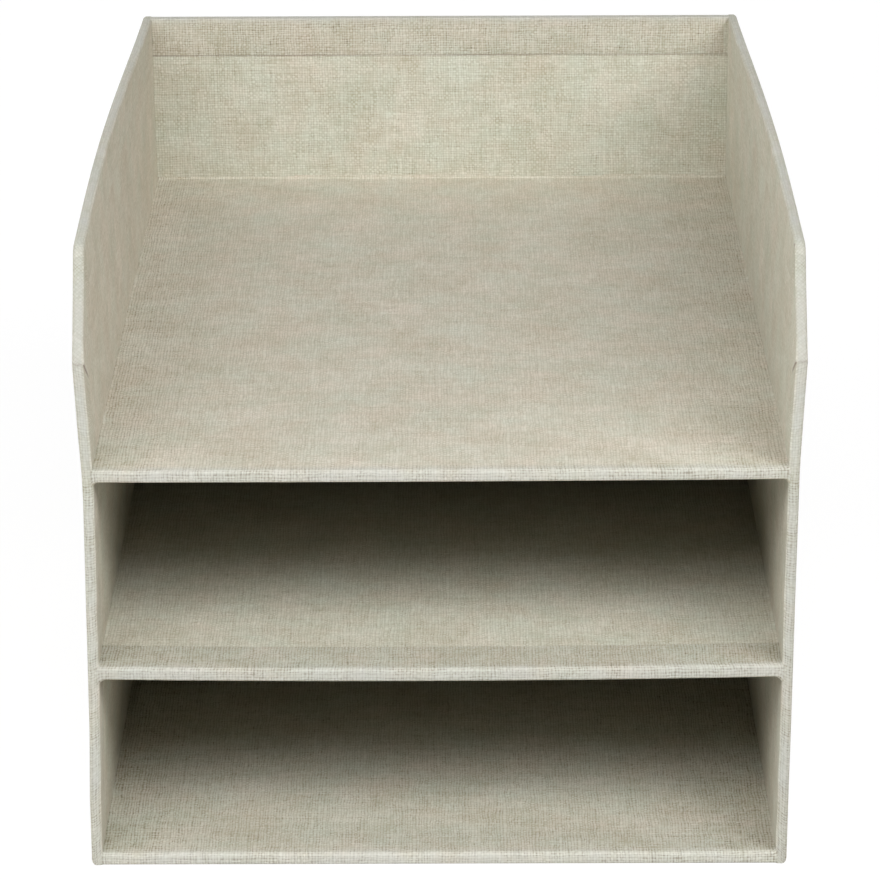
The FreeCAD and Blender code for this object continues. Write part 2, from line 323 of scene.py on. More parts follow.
def ripple(across, along, seed, height):
    """Slight unevenness of glued cloth: a few long waves, never below zero."""
    draw = np.random.default_rng(seed)
    total = 0.0
    for wave in range(WAVES):
        length = draw.uniform(*WAVE_LENGTHS)
        heading = draw.uniform(0.0, math.pi)
        start = draw.uniform(0.0, 2.0 * math.pi)
        way = across * math.cos(heading) + along * math.sin(heading)
        total = total + np.sin(2.0 * math.pi * way / length + start)
    return height * (0.5 + total / (2 * WAVES))


def bell(distance, reach):
    """One at no distance, falling off smoothly on both sides: exp(-(distance / reach)^2)."""
    return np.exp(-((distance / reach) ** 2))


# %% [markdown]
# The free upper part of each side wall leans out a little, most in the middle of its length,
# because nothing holds it between the tray's floor and the top. The lean was taken at nine
# places along the top edge; a smooth curve through them is used by the board and by the cloth
# on both faces.

# %% The lean of the side walls
LEAN_START = 143.0
LEAN_SOFT = 5.0
LEAN_PLACES = np.array((163.0, 100.0, 43.0, -11.0, -37.0, -86.0, -132.0, -151.0, -170.0)) / REAR
LEAN_LEFT = np.polyfit(LEAN_PLACES, (0.9, 2.6, 3.65, 4.75, 4.7, 4.2, 3.6, 3.25, 3.2), 4)
LEAN_RIGHT = np.polyfit(LEAN_PLACES, (0.1, 1.85, 2.9, 4.05, 4.0, 3.8, 3.5, 3.4, 3.45), 4)


def lean(side, y, z):
    """How far a wall stands out: a quartic along its depth times a ramp from the tray floor."""
    outward = np.clip(np.polyval(LEAN_LEFT if side < 0 else LEAN_RIGHT, y / REAR), 0.0, None)
    rise = z - LEAN_START
    ramp = (rise + np.sqrt(rise * rise + LEAN_SOFT * LEAN_SOFT)) / 2.0
    return outward * ramp / (TOP - LEAN_START)


def to_walls(x, y, z):
    """Widen a sheet between the walls: each wall's lean, in proportion to the place across."""
    return x + np.where(x < 0.0, lean(-1, y, z), lean(1, y, z)) * x / LINING_FACE


for place in (100.0, 43.0, -11.0, -86.0, -132.0):
    print("lean at", place, [round(float(lean(s, place, TOP)), 2) for s in (-1, 1)])


# %% [markdown]
# A side wall is a flat board with a slanted cut at its upper front corner. Its surface is a
# set of rings round its outline: each ring is the outline moved inwards by some distance, at
# some depth through the thickness. Corners move along their bisectors, which keeps the edges
# parallel. The slant goes over into the top edge in a bend, and the last ring shrinks to a
# line in the middle of a face.

# %% Rings round a side wall
HOLD = 150.0
SPINE_Z = 95.0
SPINE_ENDS = (-85.0, 95.0)
BEND_RADIUS = 14.0
LEAST_RADIUS = 0.05
CORNER_CLOSE, CORNER_STEP = 9.0, 0.45
OUTLINE = np.array(
    [(FRONT, 0.0), (FRONT, HOLD), (FRONT, TOP - SLANT_DOWN)]
    + [(FRONT + SLANT_BACK, TOP), (REAR, TOP), (REAR, 0.0)]
)
LOW_END, HIGH_END = OUTLINE[2], OUTLINE[3]
FRONT_LOW, FRONT_HIGH, SLANT, BEND, TOP_EDGE, REAR_EDGE, BOTTOM_EDGE = range(7)
EDGE_FROM = np.array((0, 1, 2, 3, 3, 4, 5))
EDGE_TO = np.array((1, 2, 3, 3, 4, 5, 0))
RUN = np.roll(OUTLINE, -1, axis=0) - OUTLINE
RUN_LENGTH = np.linalg.norm(RUN, axis=1)
HEADING = RUN / RUN_LENGTH[:, None]
INWARD = field(HEADING[:, 1], -HEADING[:, 0])
BEND_TURN = math.acos(INWARD[2] @ INWARD[3])
EDGE_LENGTH = np.insert(RUN_LENGTH, BEND, BEND_RADIUS * BEND_TURN)


def bisectors(inward):
    """How a corner moves for one millimetre inwards: (n1 + n2) / (1 + n1 . n2)."""
    before = np.roll(inward, 1, axis=0)
    return (before + inward) / (1.0 + (before * inward).sum(1))[:, None]


ALL_ROUND = bisectors(INWARD)
OPEN_BELOW = ALL_ROUND.copy()
OPEN_BELOW[0] = (1.0, 0.0)
OPEN_BELOW[4] = (0.0, -1.0)
OPEN_BELOW[5] = (0.0, 0.0)


def ring(edge, share, inset, move):
    """Points at a share of the way along an edge of the outline, moved inwards by inset.

    The bend's radius shrinks by the inset. Its point is the centre minus the radius times an
    inward direction that turns from the slant's to the top's; both edges end at the arc."""
    inset = inset[..., None]
    radius = np.clip(BEND_RADIUS - inset, LEAST_RADIUS, None)
    cut = radius * math.tan(BEND_TURN / 2)
    start = OUTLINE[EDGE_FROM[edge]] + inset * move[EDGE_FROM[edge]]
    end = OUTLINE[EDGE_TO[edge]] + inset * move[EDGE_TO[edge]]
    start = start + (edge == TOP_EDGE)[..., None] * cut * HEADING[3]
    end = end - (edge == SLANT)[..., None] * cut * HEADING[2]
    straight = start + share[..., None] * (end - start)
    turn = (share * BEND_TURN)[..., None]
    facing = np.sin(BEND_TURN - turn) * INWARD[2] + np.sin(turn) * INWARD[3]
    centre = HIGH_END + (inset + radius) * ALL_ROUND[3]
    arc = centre - radius * facing / math.sin(BEND_TURN)
    return np.where((edge == BEND)[..., None], arc, straight)


def ring_stops(marks_on_front=()):
    """Edge numbers and shares for one trip round the outline, close together at its corners."""
    edges, shares = [], []
    for number, length in enumerate(EDGE_LENGTH):
        stops = stations(0.0, length, STEP, min(CORNER_CLOSE, length / 3), CORNER_STEP)
        if number == FRONT_LOW:
            stops = np.unique(np.concatenate([stops, np.asarray(marks_on_front, float)]))
        stops = stops[stops < length - WELD]
        edges.append(np.full(len(stops), number))
        shares.append(stops / length)
    edges.append([FRONT_LOW])
    shares.append([0.0])
    return np.concatenate(edges), np.concatenate(shares)


def to_spine(points, share):
    """Draw face rings together: a straight blend from a ring to the line inside the face."""
    spine = field(np.clip(points[..., 0], *SPINE_ENDS), SPINE_Z)
    return points + share[..., None] * (spine - points)


# %% [markdown]
# The grey boards are hidden under the cloth. They are made again because flat CAD boards would
# come through cloth that sags and leans. A plain closed shell with rounded edges is enough.

# %% Side boards
COVER_RADIUS = 0.8
OUTER_RADIUS = 1.6
BOARD_RADIUS = COVER_RADIUS - CLOTH
BOARD_ARC_STEPS = 4
SIDE_BOARD = HALF_WIDTH - BOARD_FACE - CLOTH
SIDE_SHARES = np.linspace(0.0, 1.0, 22)


def quarter(steps):
    """Quarter circle of radius one: how far it still is from its end, and from its start."""
    swing = np.linspace(0.0, math.pi / 2, steps + 1)
    return 1.0 - np.sin(swing), 1.0 - np.cos(swing)


def edge_rows(face, thick, first, second):
    """Share drawn together, inset and depth of the rings of a board: face, edge, other face.

    Quarter circles of the first and second radius join the faces to the edge; the depth runs
    from thick down to zero."""
    wane, grow = quarter(BOARD_ARC_STEPS)
    near, far = np.ones(len(face)), np.ones(len(face) - 1)
    gather = np.concatenate([face[::-1], np.zeros(2 * BOARD_ARC_STEPS + 1), face[1:]])
    inset = np.concatenate([first * near, first * wane[1:], second * grow, second * far])
    deep = np.concatenate([thick * near, thick - first * grow[1:], second * wane, 0.0 * far])
    return gather, inset, deep


def side_board(side, name, node):
    """Rings of the wall's outline, each ring at its depth and moved out by the lean."""
    rows = edge_rows(SIDE_SHARES, SIDE_BOARD, BOARD_RADIUS, OUTER_RADIUS - CLOTH)
    gather, inset, deep = [values[:, None] for values in rows]
    edge, share = ring_stops()
    outline = to_spine(ring(edge[None], share[None], inset + CLOTH, ALL_ROUND), gather)
    y, z = outline[..., 0], outline[..., 1]
    points = field(side * (HALF_WIDTH - CLOTH - deep + lean(side, y, z)), y, z)
    if side < 0:
        points, outline = points[:, ::-1], outline[:, ::-1]
    declare(grid_piece(name, points, outline, thickness=0.0), node, "board")


side_board(-1, "left_wall_board", "left_side_board")
side_board(1, "right_wall_board", "right_side_board")

# %% [markdown]
# The back, the base and the shelves are plain rectangles. Their rings are the outline of a
# square, stretched to the board's size.

# %% Back, base and shelf boards
SQUARE_STEPS = 32
PLAIN_SHARES = np.linspace(0.0, 1.0, 16)


def plain_board(name, node):
    """Rings round a box: a unit square's outline times the half sizes less the inset."""
    low, high = node_box(node)
    middle, half = (low + high) / 2, (high - low) / 2
    thin = int(np.argmin(half))
    wide, long = (thin + 1) % 3, (thin + 2) % 3
    gather, inset, deep = edge_rows(PLAIN_SHARES, 2.0 * half[thin], BOARD_RADIUS, BOARD_RADIUS)
    side = np.linspace(-1.0, 1.0, SQUARE_STEPS + 1)[:-1]
    one = np.ones(SQUARE_STEPS)
    across = np.concatenate([side, one, -side, -one, side[:1]])
    along = np.concatenate([-one, side, one, -side, -one[:1]])
    size = (half[[wide, long]][:, None] - inset) * (1.0 - gather)
    spread = size[:, :, None] * np.stack([across, along])[:, None, :]
    points = np.zeros(spread.shape[1:] + (3,))
    points[..., wide], points[..., long] = spread
    points[..., thin] = (deep - half[thin])[:, None]
    flat = np.moveaxis(spread, 0, -1)
    declare(grid_piece(name, points + middle, flat, thickness=0.0), node, "board")


plain_board("back_wall_board", "back_board")
plain_board("base_inner_board", "base_board")
plain_board("lower_inner_board", "lower_shelf_board")
plain_board("upper_inner_board", "upper_shelf_board")

# %% [markdown]
# The cover of a side wall is one sheet. It lies on the outer face, comes round the front, the
# slant and the top, and is turned in a thumb's width on the inner face. The base and the
# shelves are glued straight to the board, so the turned-in part has gaps there. At the two
# ends of the slant the spare cloth is folded under: one side of the fold stands a cloth
# thickness higher, and the fold shows as a short dark line.

# %% Side wall covers
WALL = HALF_WIDTH - LINING_FACE
TURNED_ROWS = 34
FACE_ROWS = 24
ON_FACE = 0.01
SLOTS = ((0.0, BASE_FLOOR), (LOWER_CEILING, LOWER_FLOOR), (MIDDLE_CEILING, TRAY_FLOOR))
LOW_FOLD = (13.8, -9.7)
HIGH_FOLD = (3.0, -6.0)
FOLD_SOFT = 0.36
RIM_ROW, RIM_REACH = 42.0, 7.0
EDGE_WEAR = 0.6


def beside(y, z, corner, heading):
    """Distance along a line from a corner, and distance to its side."""
    heading = np.asarray(heading, float) / np.linalg.norm(heading)
    along = (y - corner[0]) * heading[0] + (z - corner[1]) * heading[1]
    aside = (z - corner[1]) * heading[0] - (y - corner[0]) * heading[1]
    return along, aside


def fold(y, z, corner, heading, height, reach, width):
    """Step beside a fold line: one side is raised, fading along the line and away from it."""
    along, aside = beside(y, z, corner, heading)
    step = 0.5 + 0.5 * np.tanh(aside / FOLD_SOFT)
    fade = np.exp(-np.clip(aside, 0.0, None) / width) * np.exp(-((along / reach) ** 4))
    return height * step * fade * (along > -1.0)


def dark_line(y, z, corner, heading, reach, width):
    """A line that is dark where a fold opens: a bell across it, ending at its reach."""
    along, aside = beside(y, z, corner, heading)
    return bell(aside, width) * np.exp(-((along / reach) ** 6)) * (along > -0.5)


def wall_profile():
    """Depth, inset and unfolded inset from the turned-in edge to the outer face.

    Quarter circles join the inner face, the edge and the outer face; on the flat cloth the
    inset goes on growing by the length already passed."""
    wane, grow = quarter(ARC_STEPS)
    turned = np.linspace(TURN_IN, COVER_RADIUS, TURNED_ROWS)
    level = np.full(TURNED_ROWS, WALL)
    deep = np.concatenate([level, WALL - COVER_RADIUS * grow[1:], OUTER_RADIUS * wane])
    inset = np.concatenate([turned, COVER_RADIUS * wane[1:], OUTER_RADIUS * grow])
    path = np.append(0.0, np.cumsum(np.hypot(np.diff(deep), np.diff(inset))))
    return deep, inset, path - path[-1] + OUTER_RADIUS


def wall_sheet(edge, share):
    """Outline, place on the flat cloth and depth of every point of a wall's cover.

    Rows run from the turned-in border over the edge to the middle of the outer face. The rear
    and the bottom edge aren't wrapped: there the inner rows stop at the outline."""
    deep, inset, unfolded = wall_profile()
    rows = len(deep)
    wrapped = edge <= TOP_EDGE
    last = rows - ARC_STEPS - 1
    inner = (np.arange(rows) < last)[:, None]
    plain = np.interp(np.arange(rows), [TURNED_ROWS - 1, last], [WALL - CLOTH, OUTER_RADIUS])
    deep = np.where(wrapped | ~inner, deep[:, None], plain[:, None])
    inset = np.where(wrapped | ~inner, inset[:, None], 0.0)
    open_rings = ring(edge[None], share[None], inset, OPEN_BELOW)
    full_rings = ring(edge[None], share[None], inset, ALL_ROUND)
    spread = np.where(inner[..., None], open_rings, full_rings)
    flat = ring(edge[None], share[None], unfolded[:, None], ALL_ROUND)
    gather = np.linspace(0.0, 1.0, FACE_ROWS + 1)[1:, None]
    face = to_spine(np.repeat(spread[-1:], FACE_ROWS, axis=0), gather)
    deep = np.concatenate([deep, np.zeros((FACE_ROWS, len(share)))])
    return np.concatenate([spread, face]), np.concatenate([flat, face]), deep


def cut_away(y, z, deep, edge):
    """Mask of the quads that stay: none where a shelf or the back is glued to the board."""
    middle_z = (z[:, :-1] + z[:, 1:])[:-1] / 2
    middle_y = (y[:, :-1] + y[:, 1:])[:-1] / 2
    middle_deep = (deep[:-1, :-1] + deep[1:, 1:]) / 2
    in_slot = (middle_y > BACK_FACE) & (edge[:-1] == TOP_EDGE)
    for low, high in SLOTS:
        in_slot |= (middle_z > low) & (middle_z < high) & (edge[:-1] <= FRONT_HIGH)
    turned = (np.arange(len(middle_z)) < TURNED_ROWS - 1)[:, None]
    return ~(in_slot & (middle_deep > WALL - CLOTH)) & ~((edge[:-1] >= REAR_EDGE) & turned)


def wall_cover(side, name, node):
    """One sheet over the outer face, the edges and the turned-in border of a side wall."""
    edge, share = ring_stops([z for slot in SLOTS for z in slot])
    outline, flat, deep = wall_sheet(edge, share)
    y, z = outline[..., 0], outline[..., 1]
    row = np.arange(len(outline))[:, None]
    turned_in = row < TURNED_ROWS + 2
    raised = fold(y, z, LOW_END, LOW_FOLD, height=0.4, reach=16.0, width=3.0)
    raised = raised + fold(y, z, HIGH_END, HIGH_FOLD, height=0.3, reach=8.0, width=2.5)
    raised = raised + ripple(2.0 * y, 2.0 * z, 15 + side, 0.35)
    uneven = np.where(deep < ON_FACE, ripple(y, z, 11 + side, 0.12), 0.0)
    x = HALF_WIDTH - deep + lean(side, y, z) - np.where(turned_in, raised, 0.0) + uneven
    points = field(side * x, y, z)
    keep = cut_away(y, z, deep, edge)
    left = side < 0
    in_front, in_tray = edge <= FRONT_HIGH, z > TRAY_FLOOR
    rim = bell(row - RIM_ROW, RIM_REACH)
    # Painted shade on the rims: most on the slant, which faces up towards the lamps, a little on
    # the other edges, and none on the left wall's front below the tray.
    front_rim_painted_shade = np.where(in_tray, 0.05, 0.0 if left else 0.05)
    top_rim_painted_shade = np.where(edge == SLANT, 0.13, 0.03)
    low_line = dark_line(y, z, LOW_END, LOW_FOLD, 15.0 if left else 12.5, 0.4)
    high_line = dark_line(y, z, HIGH_END, HIGH_FOLD, 2.5, 0.5) * (not left)
    fold_and_shadow_lines = np.where(turned_in, np.maximum(low_line, high_line), 0.0)
    across_rim = 0.35 * rim * bell(z - LOW_END[1], 0.35) * (edge <= SLANT)
    marks = {
        "wear": EDGE_WEAR * rim,
        "open": 0.3 + rim * np.where(in_front, np.where(in_tray, 0.7, 1.5), 0.15),
        "warm": 0.7 - 0.45 * rim if left else 0.5 - 0.25 * rim,
        "fold_and_shadow_lines": np.maximum(fold_and_shadow_lines, across_rim),
        "tone": 1.0 - rim * np.where(in_front, front_rim_painted_shade, top_rim_painted_shade),
    }
    if left:
        points, flat, keep = points[:, ::-1], flat[:, ::-1], keep[:, ::-1]
        marks = {key: values[:, ::-1] for key, values in marks.items()}
    cloth(name, node, "cover_cloth", points, flat, keep, marks)


wall_cover(-1, "left_wall_cloth", "left_side_cover")
wall_cover(1, "right_wall_cloth", "right_side_cover")

# %% [markdown]
# Inside the tray each wall is lined with a flat piece cut parallel to the wall's outline, so
# that it meets the edge of the turned-in cloth. Its columns run from the floor up to the
# slanted and level upper edge.

# %% Tray wall linings
SEAM = 0.1


def wall_lining(side, name, node):
    """A field of columns: z runs from the tray floor to the outline moved in, at each y."""
    inner = OUTLINE + (TURN_IN + SEAM) * OPEN_BELOW
    (front, low_z), (high_y, high_z) = inner[2:4]
    y = np.concatenate([np.linspace(front, high_y, 12), np.linspace(high_y, BACK_FACE, 70)[1:]])
    y = y[:, None]
    upper = np.interp(y, [front, high_y, REAR], [low_z, high_z, high_z])
    z = TRAY_FLOOR + np.linspace(0.0, 1.0, 20) * (upper - TRAY_FLOOR)
    points = field(side * (LINING_FACE + lean(side, y, z)), y, z)
    flat = field(y, z)
    if side > 0:
        points, flat = points[::-1], flat[::-1]
    marks = {"open": 0.3, "warm": 0.8 if side < 0 else 0.5}
    cloth(name, node, "lining_cloth", points, flat, None, marks)


wall_lining(-1, "tray_left_sheet", "tray_left_lining")
wall_lining(1, "tray_right_sheet", "tray_right_lining")

# %% [markdown]
# A shelf's cloth is a profile carried across the width: along the floor, round the front edge
# and under. Where it meets the walls it turns up in a small curve, wider near the front edge,
# and under the shelf it turns down, because glue and cloth fill the corners.

# %% Shelf cloths
FLOOR_CURVE = 0.35
FRONT_CURVE, FRONT_REACH = 1.0, 7.0
LOWER_CORNER, MIDDLE_CORNER, NO_CORNER = 3.2, 2.1, 1e-3
SHELF_RADIUS = 1.4
BACK_CURVE = 1.0
EDGE_REACH = LINING_FACE + 0.6
BACK_LINING = BACK_FACE - CLOTH
FRONT_OPEN, FRONT_WARM = 2.0, 0.3
WALL_OPEN, WALL_REACH = 0.55, 26.0
STRIP_BACK = 19.0
# Painted light and shade on the floors, each a bell: painted shade deep in the bays, growing
# towards the back; painted light on the right of the tray floor and in the middle of the lower
# shelf; painted shade along the front of the base floor and at one place on its right.
DEEP_PAINTED_SHADE = (0.0, 60.0, 400.0, 75.0, -0.5)
TRAY_PAINTED_LIGHT = ((105.0, -80.0, 30.0, 70.0, 0.09),)
BASE_PAINTED_SHADE = ((10.0, -160.0, 80.0, 11.0, -0.09), (100.0, -166.0, 25.0, 10.0, -0.13), DEEP_PAINTED_SHADE)
SHELF_PAINTED_LIGHT_AND_SHADE = ((0.0, -100.0, 90.0, 28.0, 0.12), DEEP_PAINTED_SHADE)


def corner_curve(x, radius):
    """Height of a quarter circle that rises from a floor to a wall, zero away from the wall."""
    into = np.clip(np.abs(x) - (LINING_FACE - radius), 0.0, radius)
    return radius - np.sqrt(radius * radius - into * into)


def shade(x, y, painted_light_spots):
    """One, plus a bell for each lighter or darker place on a floor: painted light and shade.

    A spot is its middle in x and y, its reach in x and y, and its strength."""
    level = 1.0
    for middle_x, middle_y, wide, deep, strength in painted_light_spots:
        level = level + strength * bell(x - middle_x, wide) * bell(y - middle_y, deep)
    return level


def shelf_cloth(name, node, start, floor, ceiling, bay_corner, seed, half, marks):
    """A profile in (y, z): start points, the front edge from floor to ceiling, and turned under.

    The floor side rises to the walls, the lower side falls to them by the bay's corner radius;
    the front face reaches over the inner rounding of the walls' edges."""
    corners = start + [(FRONT, floor), (FRONT, ceiling), (FRONT + TURN_IN, ceiling)]
    radii = [BACK_CURVE] * (len(start) - 1) + [SHELF_RADIUS, COVER_RADIUS]
    line, along = rounded_line(corners, radii)
    y, z = line[:, :1], line[:, 1:]
    x = stations(-half, half, close=4.0)
    ahead, rise = np.hsplit(np.gradient(line, along, axis=0), 2)
    facing_up = np.clip(-ahead, 0.0, 1.0)
    facing_down = np.clip(ahead, 0.0, 1.0)
    facing_front = np.clip(-rise, 0.0, 1.0) * (y < FRONT + 4.0)
    low_share = np.clip((floor - z) / (floor - ceiling), 0.0, 1.0)
    down = np.maximum(facing_down, np.where(facing_front > 0.02, low_share**2, 0.0))
    front_edge = bell(y - FRONT, 2.5) * (z > ceiling + 0.5)
    curve = FLOOR_CURVE + FRONT_CURVE * bell(y - FRONT, FRONT_REACH)
    lift = (corner_curve(x, curve) + ripple(x, y, seed, 0.1)) * facing_up
    z = z + lift - corner_curve(x, bay_corner) * down
    reach = 1.0 + (EDGE_REACH / half - 1.0) * facing_front
    points = field(to_walls(x * reach, y, z), y, z)
    inner = 1.0 - front_edge
    near_wall = bell(half - np.abs(x), WALL_REACH)
    open_weave = marks["open"] + WALL_OPEN * near_wall * inner
    # The sheet's own tone times its painted light and shade.
    tone = marks["tone"] * shade(x, y, marks["painted_light_spots"])
    marks = {
        "wear": EDGE_WEAR * front_edge,
        "open": open_weave * inner + FRONT_OPEN * front_edge,
        "warm": marks["warm"] * inner + FRONT_WARM * front_edge,
        "tone": tone * inner + marks["front"] * front_edge,
    }
    flat = field(x, along[:, None])
    cloth(name, node, "cover_cloth", points, flat, None, marks)


shelf_cloth(
    "tray_floor_cloth", "upper_shelf_cover",
    [(BACK_LINING - 0.05, TRAY_FLOOR + 1.6), (BACK_LINING - 0.05, TRAY_FLOOR)],
    TRAY_FLOOR, MIDDLE_CEILING, MIDDLE_CORNER, 21, LINING_FACE,
    {"open": 0.5, "warm": 0.65, "tone": 1.0, "front": 1.0, "painted_light_spots": TRAY_PAINTED_LIGHT},
)
shelf_cloth(
    "lower_shelf_cloth", "lower_shelf_cover",
    [(FRONT + STRIP_BACK, LOWER_FLOOR + CLOTH)],
    LOWER_FLOOR + CLOTH, LOWER_CEILING, LOWER_CORNER, 22, LINING_FACE,
    {"open": 0.95, "warm": 0.4, "tone": 0.86, "front": 0.97, "painted_light_spots": ()},
)
shelf_cloth(
    "base_floor_sheet", "base_floor_cloth",
    [(BACK_FACE, BASE_FLOOR)],
    BASE_FLOOR, 0.0, NO_CORNER, 23, BOARD_FACE,
    {"open": 0.95, "warm": 0.4, "tone": 0.96, "front": 1.07, "painted_light_spots": BASE_PAINTED_SHADE},
)

# %% [markdown]
# The lower shelf's own lining starts under the turned-in strip, and a last flat sheet closes
# the underside. Both are plain fields; the shelf lining also rises a little to the walls.

# %% Flat sheets of the lower shelf and the underside
floor_x = stations(-LINING_FACE, LINING_FACE, close=4.0)
shelf_y = np.linspace(BACK_FACE, FRONT + CLOTH + 2.0, 90)[:, None]
behind_strip = np.clip((shelf_y - (FRONT + STRIP_BACK + 1.0)) / 4.0, 0.0, 1.0)
shelf_z = LOWER_FLOOR + corner_curve(floor_x, FLOOR_CURVE)
shelf_z = shelf_z + behind_strip * ripple(floor_x, shelf_y, 24, 0.1)
# The shelf lining's tone is painted light in its middle and painted shade deep in the bay.
cloth(
    "lower_shelf_sheet", "lower_shelf_lining", "lining_cloth",
    field(floor_x, shelf_y, shelf_z), field(floor_x, -shelf_y), None,
    {"open": 0.7, "warm": 0.35, "tone": shade(floor_x, shelf_y, SHELF_PAINTED_LIGHT_AND_SHADE)},
)
under_y = np.linspace(FRONT + TURN_IN + SEAM, BACK_FACE - SEAM, 80)[:, None]
under_x = np.linspace(-BOARD_FACE, BOARD_FACE, 60)
cloth(
    "underside_sheet", "base_underside_cloth", "cover_cloth",
    field(under_x, under_y, 0.0), field(under_x, under_y),
)

# %% [markdown]
# Each bay is lined with one sheet that goes up one wall, across the ceiling and down the
# other, with rounded upper corners, and with a flat sheet on the back.

# %% Bay linings
WALL_BAND = 8.0


def bay_sheets(label, floor, ceiling, radius, left_painted_light):
    """The profile floor, wall, ceiling, wall, floor in (x, z), carried from back to front."""
    wall_line = [(-LINING_FACE, floor), (-LINING_FACE, ceiling)]
    line, along = rounded_line(wall_line + [(-x, z) for x, z in wall_line[::-1]], (radius, radius))
    x, z = line[:, :1], line[:, 1:]
    y = np.linspace(BACK_FACE, FRONT + TURN_IN + SEAM, 70)
    # Painted light: the left wall is lighter, more so towards the ceiling.
    on_left = np.clip((WALL_BAND - LINING_FACE - x) / WALL_BAND, 0.0, 1.0)
    tone = 1.0 + left_painted_light * on_left * np.clip((z - floor) / (ceiling - floor), 0.0, 1.0)
    cloth(
        f"{label}_bay_sheet", f"{label}_bay_lining", "lining_cloth",
        field(x, y, z), field(y, along[:, None]), None, {"warm": 0.6, "tone": tone},
    )
    x = stations(-LINING_FACE, LINING_FACE, close=radius)[:, None]
    z = floor + np.linspace(0.0, 1.0, 18) * (ceiling - corner_curve(x, radius) - floor)
    cloth(
        f"{label}_back_sheet", f"{label}_back_lining", "lining_cloth",
        field(x, BACK_LINING, z), field(x, z),
    )


bay_sheets("lower", BASE_FLOOR, LOWER_CEILING, LOWER_CORNER, 0.24)
bay_sheets("middle", LOWER_FLOOR, MIDDLE_CEILING, MIDDLE_CORNER, 0.1)

# %% [markdown]
# The back is covered from behind; the cloth comes over the top edge and is turned in on top
# of the tray's back lining as a strip. The strip meets the left wall and stops short of the
# right one, and its lower edge is pressed flat.

# %% Back cover
STRIP_WIDTH = 15.2
STRIP_END = TOP - STRIP_WIDTH
STRIP_HALVES = (LINING_FACE - 0.2, LINING_FACE - 1.9)
BACK_STRIP = BACK_FACE - 2.0 * CLOTH
FOOT_RADIUS = 0.5
back_line, back_along = rounded_line(
    [(BACK_FACE, 0.0), (REAR, 0.0), (REAR, TOP), (BACK_STRIP, TOP), (BACK_STRIP, STRIP_END)],
    (FOOT_RADIUS, COVER_RADIUS, COVER_RADIUS),
    2.0,
)
line_y, line_z = back_line[:, :1], back_line[:, 1:]
inside_tray = line_y < BACK_FACE
narrowed = np.clip(TOP - 1.2 - line_z, 0.0, 1.0) * inside_tray
pressed = np.clip((STRIP_END + 2.0 - line_z) / 2.0, 0.0, 1.0) * inside_tray
unit = stations(-1.0, 1.0, 0.035, close=0.04, close_step=0.004)
strip_half = np.where(unit < 0.0, *STRIP_HALVES)
back_x = unit * (BOARD_FACE + (strip_half - BOARD_FACE) * narrowed)
on_rear = np.clip((line_y - (REAR - 0.1)) / 0.1, 0.0, 1.0)
back_y = line_y + 0.2 * pressed + on_rear * ripple(back_x, line_z, 31, 0.12)
cloth(
    "back_wall_cloth", "back_cover", "cover_cloth",
    field(to_walls(back_x, BACK_FACE, line_z), back_y, line_z),
    field(back_x, back_along[:, None]),
    None,
    {
        "wear": EDGE_WEAR * bell(line_z - TOP, 1.2),
        "open": np.where(inside_tray, 0.9, 0.4),
        "warm": np.where(inside_tray, 0.55, 0.4),
        "tone": np.where(inside_tray, 0.92, 1.0),
    },
)

# %% [markdown]
# The tray's back lining is a flat sheet behind the strip. It follows the walls' lean at its
# ends, so that no slit opens in the corners. Just under the strip's lower edge it carries a
# painted shadow of the strip: a thin dark line.

# %% Tray back lining
inner_x = stations(-LINING_FACE, LINING_FACE, close=2.0)[:, None]
inner_z = np.linspace(TRAY_FLOOR, TOP - COVER_RADIUS, 40)
inner_z = np.sort(np.append(inner_z, STRIP_END + np.linspace(-0.9, 0.3, 7)))
below_strip = np.clip((STRIP_END - 1.0 - inner_z) / 3.0, 0.0, 1.0)
# Painted shadow: a dark line on the lining just under the strip's lower edge, uneven along it.
painted_strip_shadow = bell(inner_z - STRIP_END + 0.2, 0.4)
inner_y = BACK_LINING - below_strip * ripple(inner_x, inner_z, 32, 0.1)
cloth(
    "tray_back_sheet", "tray_back_lining", "lining_cloth",
    field(to_walls(inner_x, BACK_FACE, inner_z), inner_y, inner_z), field(inner_x, inner_z), None,
    {"open": 0.55, "warm": 0.32, "fold_and_shadow_lines": painted_strip_shadow * ripple(inner_x, 0.0, 33, 0.9)},
)

# %% [markdown]
# Node groups hold what several finishes share. Small helpers keep the wiring readable: each
# adds a node, sets its values and links its inputs in one call.

# %% Wiring helpers
FLOAT = "NodeSocketFloat"
VECTOR = "NodeSocketVector"


def put(tree, kind, inputs=None, **settings):
    """Add a node; inputs maps a socket name or number to a value or to another socket."""
    node = tree.nodes.new(kind)
    for key, value in settings.items():
        setattr(node, key, value)
    for key, value in (inputs or {}).items():
        if isinstance(value, bpy.types.NodeSocket):
            tree.links.new(value, node.inputs[key])
        else:
            node.inputs[key].default_value = value
    return node


def calc(tree, operation, *values):
    """One Math node; returns its output socket."""
    return put(tree, "ShaderNodeMath", dict(enumerate(values)), operation=operation).outputs[0]


def plus(tree, first, second):
    """Sum of two values."""
    return calc(tree, "ADD", first, second)


def times(tree, first, second):
    """Product of two values."""
    return calc(tree, "MULTIPLY", first, second)


def scaled(tree, value, gain, offset):
    """Value times gain plus offset."""
    return calc(tree, "MULTIPLY_ADD", value, gain, offset)


def vector(tree, operation, *values):
    """One Vector Math node; returns its output socket."""
    node = put(tree, "ShaderNodeVectorMath", dict(enumerate(values)), operation=operation)
    return node.outputs[0]


def combine(tree, x, y, z):
    """Three values as one vector socket."""
    return put(tree, "ShaderNodeCombineXYZ", {0: x, 1: y, 2: z}).outputs[0]


def noise(tree, place, scale, detail, roughness=0.5, gives="Fac"):
    """One Noise Texture node; returns its value or its colour socket."""
    values = {"Vector": place, "Scale": scale, "Detail": detail, "Roughness": roughness}
    return put(tree, "ShaderNodeTexNoise", values).outputs[gives]


